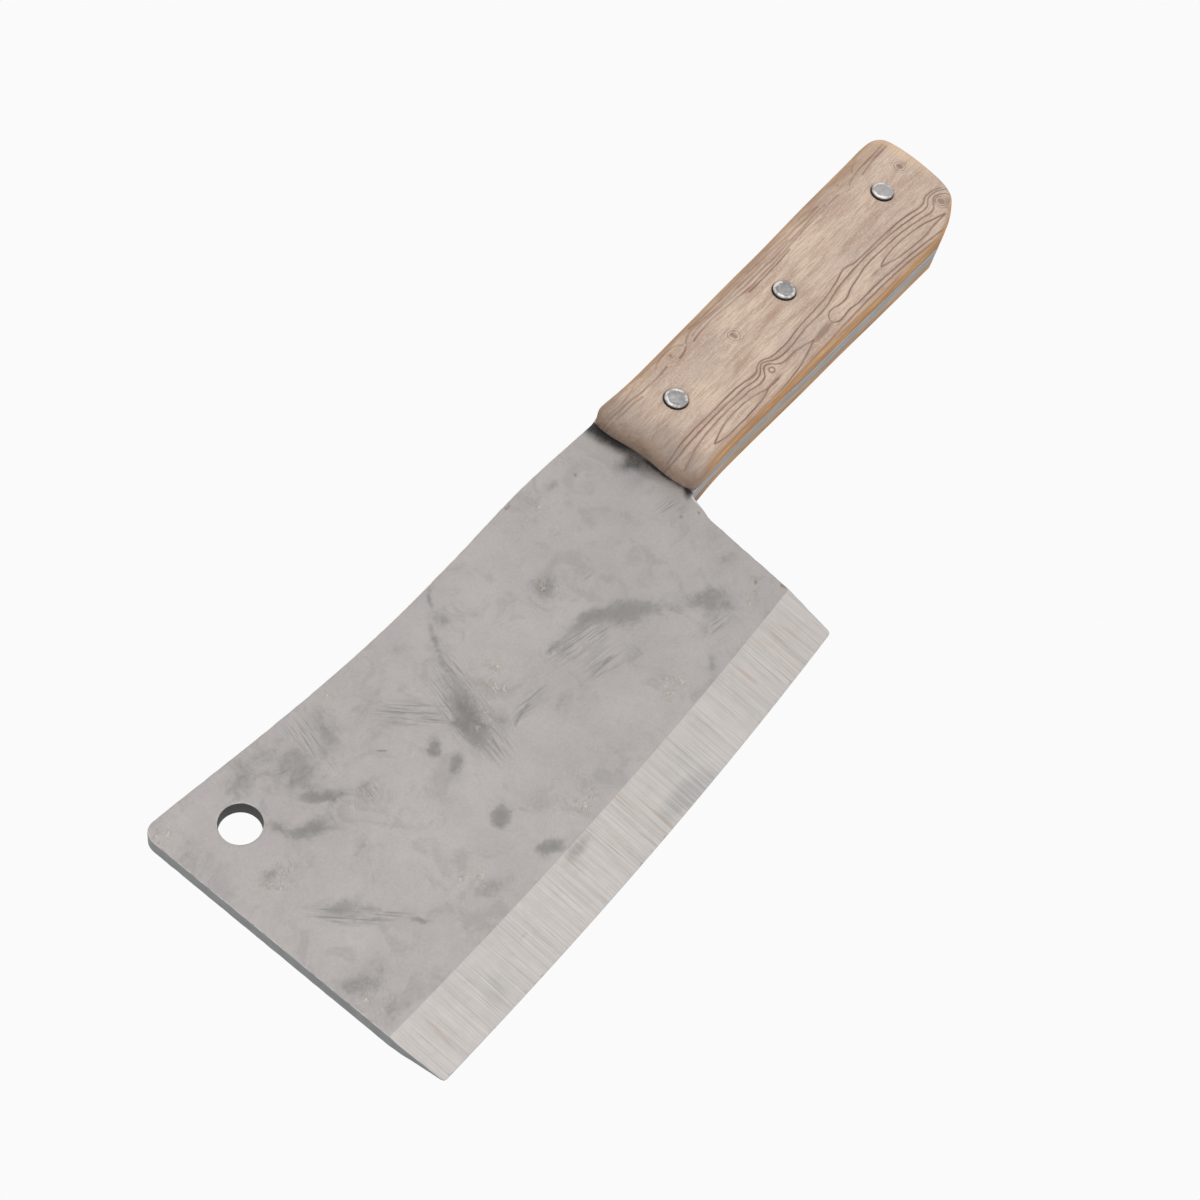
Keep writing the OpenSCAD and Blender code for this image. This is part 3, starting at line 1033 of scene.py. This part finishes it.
def rivet_material():
    """Rivet heads with a dull flat middle, paler towards the rear, a rolled rim painted bright as a
    highlight, and a painted shadow round each head.
    """
    g = Graph(bpy.data.materials.new("bright_rivet_steel"))
    point = g.point()
    x, y, _ = g.split(point)
    plan = g.join(x, y, 0.0)
    nearest = 100.0
    for rivet_x in rivet_xs:
        nearest = g.math("MINIMUM", nearest, g.distance(plan, (rivet_x / MM, 0, 0)))
    cloud = g.noise(point, 1.6, 5, 0.6, 0.5)
    brushed = g.noise(g.mapped(point, turn=50, size=(6, 1, 1)), 0.5, 4, 0.6)
    pale = grey(0.56, 0.02)
    middle = g.mix(g.ramp(cloud, 0.3, 0.7), grey(0.26, 0.02), grey(0.4, 0.02))
    middle = g.mix(g.ramp(brushed, 0.5, 0.7, 0, 0.4), middle, pale)
    # painted light: the middles of the heads are paler towards the rear rivet
    middle = g.mix(g.ramp(x, 80.0, 110.0, 0, 0.5), middle, pale)
    # painted highlight: the rolled rim is coloured bright
    rim = g.mix(g.ramp(cloud, 0.35, 0.6), grey(0.36, 0.01), grey(0.76, 0.01))
    colour = g.mix(g.ramp(g.vary(nearest, cloud, 1.6), 2.2, 2.45), middle, rim)
    # painted shadow: a dark ring round the edge of each head
    colour = g.mix(g.ramp(nearest, 2.9, 3.08), colour, grey(0.14))
    rough = g.ramp(cloud, 0.3, 0.7, 0.42, 0.3)
    bump = g.bump(g.add(cloud, g.mul(brushed, 0.3)), 0.03)
    return g.finish(Base_Color=colour, Metallic=1.0, Roughness=rough, Normal=bump)


GRAIN_LINES = (
    ((0.3, -9.9), (4, -9.1), (20, -8.9), (30, -9.1), (37, -9.9), (40.8, -8.7), (44.5, -9.9), (60, -9.6),
     (70, -9.3), (78, -8.3), (82.7, -7.4), (86, -8.2), (100, -8.7), (110, -9.4), (118, -10.5),
     (121, -9.5), (127, -11)),
    ((0, -10.8), (10, -10.2), (20, -10.1), (30, -10.5), (37.5, -11), (40.8, -9.4), (44.5, -11.2),
     (60, -11.1), (68, -11.2), (76, -9.9), (84, -9.4), (100, -9.8), (112, -11.1), (118, -11.9),
     (121.5, -10.4), (128, -12.4)),
    ((1, -14.2), (4, -13.2), (12, -11.8), (20, -11.5), (30, -11.9), (37.5, -12.5), (40.8, -10.4),
     (44.5, -13), (50, -13.4), (54, -14.2), (57, -14.9)),
    ((8, -17.9), (20, -17.7), (36, -17.8), (44, -17.4), (49, -16.8), (53.5, -15.8), (57, -14.9)),
    ((34, -18.6), (50, -18.3), (70, -18), (84, -18.1), (95, -18.6), (105, -19.6), (112, -20.6)),
    ((11.8, -15.1), (14, -14.3), (18.5, -13.3), (24, -13.1), (30, -13.6), (33, -14.3), (35.6, -15),
     (40, -15.2)),
    ((11.8, -15.1), (15, -15.8), (20, -16.1), (28, -16.2), (32, -15.9), (35.6, -15.1)),
    ((65.2, -14.9), (65.8, -13.7), (67, -12.9), (69, -12.7), (71, -13.2), (75, -13.4), (78, -12.5),
     (83, -11.7), (88, -11.1), (95, -11.2), (105, -11.8), (113, -13), (118.8, -13.6), (120.6, -12.6),
     (122.4, -11.5), (127, -14)),
    ((65.2, -14.9), (65.8, -15.8), (67.3, -16.3), (72, -16.1), (76, -16.6), (84, -16.7), (92, -17.2),
     (102, -18), (112, -19.2), (120, -20)),
    ((90.5, -14.3), (93, -13.6), (97, -13.2), (104, -13.4), (110, -14.2), (115, -15.4), (120, -17)),
    ((90.5, -14.3), (93, -15), (96.5, -15.9), (102, -16.6), (110, -17.1), (114.5, -16.8), (120, -17)),
)
FAINT_LINES = (
    ((0, 8.3), (8, 8), (12.5, 7.5), (23, 7.6)),
    ((0, 9.6), (7, 9.2), (11.5, 9.8)),
    ((32.5, 8.6), (34.5, 9.6), (37, 10), (45, 9.6), (60, 9.5), (80, 9.1)),
    ((27.5, 6.9), (30, 7.3), (31.8, 7.9)),
    ((34.5, 7.5), (38, 8), (52, 7.8), (58, 7.3), (66, 7.2), (75, 7.5), (84, 8.1), (92, 8.2),
     (104, 8.3)),
    ((109, 8), (111.5, 8.7), (114, 9.1), (120, 9.3), (129, 9.8)),
    ((113.5, 10.1), (116, 11.2), (119, 11.9)),
    ((35.5, 8.8), (38, 9.1), (50, 8.9), (58, 8.4), (70, 8.3), (84, 8.7), (98, 8.9)),
    ((37, 10.8), (48, 10.4), (62, 10.3), (80, 10.1), (96, 9.9)),
    ((58, 6.4), (68, 6.5), (78, 6.9)),
    ((0, 7.1), (6, 7), (11, 6.5)),
    ((20.5, 9.4), (23, 10.2), (27, 10.5), (30.5, 9.8), (31.5, 8.8)),
    ((115, 7.5), (122, 8.3), (129, 8.5)),
)
GRAIN_SMEARS = (
    (38.8, -15.1, 5, 0.9, 0, 1.0),
    (61, -15, 7.5, 1.7, 0, 1.2),
    (87.6, -14.3, 4, 0.8, 0, 1.1),
    (119.5, -16.6, 5, 1.6, 5, 0.45),
    (125, -15, 4, 1.8, 20, 0.8),
    (122.5, -13.6, 4, 2.6, 0, 0.55),
)
RED_SMEARS = (
    (57, -2, 7, 2.2, 5, 0.9),
    (59, 6.8, 5, 1.1, -5, 1.0),
    (35, -6, 8, 2, 0, 0.5),
    (49, -3, 9, 2.4, 0, 0.4),
    (22, -3.4, 5, 1.2, 0, 0.5),
    (97, 3.5, 6, 2.2, 10, 0.4),
    (28, 7, 4, 1, 0, 0.6),
    (120, -2, 8, 2, 5, 0.4),
    (104, -2.5, 6, 2, 0, 0.4),
)
# x, y, half length, half height, how far its rings reach, and their strength
KNOTS = (
    (43.2, 1, 0.6, 1.0, 2.9, 0.8),
    (125.3, 1.7, 0.6, 1.0, 2.9, 0.8),
    (26.5, 9.1, 0.5, 0.5, 1.8, 0.4),
    (106.6, 10.3, 0.45, 0.4, 1.6, 0.4),
    (122.7, -13.7, 0.9, 1.0, 3.4, 1.0),
)


def knots(g, point):
    """How dark the small knots and the rings round them are."""
    total = 0.0
    near = g.stirred(point, 1.2, 0.5)
    for x, y, half_length, half_height, reach, strength in KNOTS:
        local = g.mapped(near, (x, y, 0), 0, (1, 1, 1000))
        away = g.distance(local)
        oval = g.mapped(local, size=(half_length, half_height, 1))
        eye = g.ramp(g.distance(oval), 1.25, 0.7)
        rings = g.ramp(g.math("SINE", g.mul(away, 8.5)), 0.1, 0.9)
        rings = g.mul(rings, g.ramp(away, reach, 0.6 * reach, 0, strength))
        total = g.larger(total, g.larger(eye, rings))
    return total


def loose_knot(g, point):
    """A small pale knot with a dark gap round it."""
    local = g.mapped(g.stirred(point, 1.0, 0.4), (41, -12.4, 0), 0, (1, 0.9, 1000))
    return g.ramp(g.math("ABSOLUTE", g.sub(g.distance(local), 0.85)), 0.5, 0.1)


def wood_lines(g, slanted, wavy, coarse, streaks):
    """Dark contour lines, bold along the edge side and faint elsewhere, with smears and knots."""
    x, y, _ = g.split(wavy)
    weight = g.ramp(g.noise(g.mapped(slanted, size=(5, 1, 1)), 3, 3), 0.3, 0.7, 0.75, 1.15)
    bold = g.nearest_line(x, y, GRAIN_LINES)
    halo = g.ramp(bold, 1.0, 0.1, 0, 0.17)
    bold = g.mul(g.ramp(bold, 0.36, 0.08), weight)
    faint = g.nearest_line(x, y, FAINT_LINES)
    faint = g.mul(g.ramp(faint, 0.45, 0.05), g.ramp(streaks, 0.35, 0.6, 0.45, 0.95))
    smear = g.mul(g.marks(wavy, GRAIN_SMEARS), g.ramp(coarse, 0.3, 0.7, 0.7, 1.2))
    smear = g.ramp(smear, 0.1, 0.9, 0, 0.75)
    line = g.larger(g.larger(bold, faint), g.larger(smear, halo))
    return g.larger(line, g.mul(g.larger(knots(g, slanted), loose_knot(g, slanted)), 0.85))


def wood_material(name, seed, turned):
    """Pale worn wood with fine straight grain, and thin dark lines where its rings are cut at a slant."""
    g = Graph(bpy.data.materials.new(name))
    point = g.point()
    from_front = g.split(point)[0]
    if turned:
        point = g.mapped(point, (handle_l / MM, 0, 0), 0, (-1, 1, -1))
    x, y, z = g.split(point)
    level = face_z / MM
    slanted = g.join(x, g.plus(y, g.sub(z, level), 0.25), g.add(z, seed))
    along = g.mapped(slanted, size=(14, 1, 1))
    fibre = g.noise(along, 0.4, 5, 0.74)
    coarse = g.noise(along, 1.1, 4, 0.65, 0.4)
    streaks = g.noise(g.mapped(slanted, size=(7, 1, 1)), 2.6, 5, 0.62, 0.4)
    broad = g.noise(g.mapped(slanted, size=(2.5, 1, 1)), 10, 4, 0.55)
    fine = g.noise(slanted, 0.6, 4, 0.6)
    wavy = g.stirred(g.stirred(slanted, 5, 0.5), 0.8, 0.16)
    line = wood_lines(g, slanted, wavy, coarse, streaks)

    pale = g.mix(g.ramp(broad, 0.35, 0.65), (0.55, 0.425, 0.345), (0.7, 0.545, 0.425))
    pale = g.mix(g.ramp(streaks, 0.46, 0.68, 0, 0.65), pale, (0.45, 0.3, 0.22))
    pale = g.mix(g.ramp(coarse, 0.5, 0.66, 0, 0.5), pale, (0.4, 0.265, 0.19))
    pale = g.mix(g.ramp(fibre, 0.45, 0.62, 0, 0.6), pale, (0.4, 0.27, 0.2))
    pale = g.mix(g.ramp(fine, 0.5, 0.68, 0, 0.4), pale, (0.76, 0.65, 0.56))
    red = g.ramp(g.mul(g.marks(wavy, RED_SMEARS), g.ramp(streaks, 0.3, 0.65, 0.6, 1.3)), 0.1, 1.0)
    pale = g.mix(g.mul(red, 0.6), pale, (0.36, 0.2, 0.14))
    colour = g.mix(g.mul(line, 0.85), pale, (0.215, 0.115, 0.083))

    # warmer towards the spine side and on the sides, greyer towards the front
    normal = g.node("ShaderNodeNewGeometry", {}).outputs["Normal"]
    side = g.ramp(g.math("ABSOLUTE", g.split(normal)[2]), 0.88, 0.5)
    spine_side = g.ramp(g.vary(y, streaks, 5.0), 7.0, 12.0)
    warm = g.mix(g.ramp(coarse, 0.35, 0.6), (0.72, 0.42, 0.19), (0.5, 0.26, 0.12))
    tanned = g.mix(g.ramp(streaks, 0.35, 0.62), (0.53, 0.36, 0.235), (0.33, 0.19, 0.11))
    colour = g.mix(g.mul(spine_side, 0.65), colour, tanned)
    colour = g.mix(g.mul(side, g.ramp(from_front, -1.0, 6.0, 0.3, 0.9)), colour, warm)
    butt_end = g.mul(g.ramp(from_front, 126.0, 131.0), g.ramp(y, -10.0, -4.0))
    colour = g.mix(g.mul(butt_end, 0.5), colour, (0.78, 0.55, 0.34))
    # darker and greyer towards the front of the scale, where it rounds down to the blade
    front_darkening = g.mul(g.ramp(g.vary(from_front, broad, 9.0), 12.0, 1.0), g.ramp(fine, 0.2, 0.8, 0.8, 1.1))
    front_darkening = g.mul(front_darkening, g.ramp(streaks, 0.3, 0.65, 0.9, 1.1))
    colour = g.mix(g.mul(front_darkening, 0.6), colour, (0.23, 0.18, 0.155))
    strokes = g.noise(g.mapped(slanted, turn=12, size=(6, 1, 1)), 1.3, 4, 0.6, 0.6)
    strokes = g.mul(g.ramp(strokes, 0.48, 0.62), g.ramp(g.plus(from_front, y, -0.35), 16.0, 3.0))
    colour = g.mix(g.mul(strokes, 0.42), colour, (0.27, 0.2, 0.175))
    smoky = g.ramp(g.noise(g.mapped(slanted, size=(1.6, 1, 1)), 5, 5, 0.6), 0.55, 0.75, 0, 0.3)
    colour = g.mix(smoky, colour, (0.36, 0.31, 0.28))
    rough = g.ramp(fibre, 0.3, 0.7, 0.55, 0.7)
    height = g.plus(g.mul(g.add(fibre, coarse), -0.7), line, -1.2)
    return g.finish(Base_Color=colour, Roughness=rough, Normal=g.bump(height, 0.07))


# ---------------------------------------------------------------- studio
BACKDROP = (0.956, 0.956, 0.956, 1)


def make_floor():
    """A plain pale floor under the cleaver, lit evenly."""
    half = 3.0
    z = cad_box[0].z - 0.25 * MM
    corners = ((-half, -half, z), (half, -half, z), (half, half, z), (-half, half, z))
    mesh = bpy.data.meshes.new("floor")
    mesh.from_pydata(corners, [], [(0, 1, 2, 3)])
    floor = linked("floor", mesh)
    g = Graph(bpy.data.materials.new("pale_floor"))
    glow = g.node("ShaderNodeEmission", {"Color": BACKDROP, "Strength": 1.0})
    g.node("ShaderNodeOutputMaterial", {"Surface": glow.outputs[0]})
    mesh.materials.append(g.owner)
    floor.visible_diffuse = False
    floor.visible_glossy = False
    floor.visible_shadow = False


def make_world():
    """An even studio: pale overhead, dimmer below, and the floor's own tone to the camera."""
    world = bpy.data.worlds.new("studio")
    bpy.context.scene.world = world
    g = Graph(world)
    up = g.split(g.node("ShaderNodeTexCoord", {}).outputs["Generated"])[2]
    strength = g.ramp(up, -0.6, 0.6, 0.4, 0.9)
    light = g.node("ShaderNodeBackground", {"Color": (1, 1, 1, 1), "Strength": strength})
    seen = g.node("ShaderNodeBackground", {"Color": BACKDROP})
    to_camera = g.node("ShaderNodeLightPath", {}).outputs["Is Camera Ray"]
    inputs = {0: to_camera, 1: light.outputs[0], 2: seen.outputs[0]}
    both = g.node("ShaderNodeMixShader", inputs)
    g.node("ShaderNodeOutputWorld", {"Surface": both.outputs[0]})


def make_light(name, where, size, power):
    """A soft square light aimed at the middle of the cleaver."""
    data = bpy.data.lights.new(name, "AREA")
    data.size = size
    data.energy = power
    lamp = linked(name, data)
    lamp.location = where
    lamp.rotation_euler = (-Vector(where)).to_track_quat("-Z", "Y").to_euler()


def make_camera():
    """The photograph's camera."""
    data = bpy.data.cameras.new("camera")
    data.sensor_width = 36
    data.lens = 61.06
    camera = linked("camera", data)
    right = Vector((0.59298, -0.79013, 0.15513))
    up = Vector((0.62664, 0.57382, 0.5273))
    back = right.cross(up)
    pose = Matrix((right, up, back)).transposed().to_4x4()
    pose.translation = (-0.26979, -0.09732, 0.40755)
    camera.matrix_world = pose
    bpy.context.scene.camera = camera


def make_studio():
    scene = bpy.context.scene
    scene.view_settings.view_transform = "Standard"
    make_floor()
    make_world()
    make_light("overhead", (0.15, 0.1, 1.1), 0.9, 1.6)
    make_camera()


make_blade(blade_material())
make_scale("near_scale", "scale_left", 1, 0.0, wood_material("near_wood", 0.0, False))
make_scale("far_scale", "scale_right", -1, 40.0, wood_material("far_wood", 60.0, True))
rivet_steel = rivet_material()
for index, rivet_x in enumerate(rivet_xs):
    make_rivet(PLACES[index], rivet_x, 11.0 * index, rivet_steel)
make_studio()
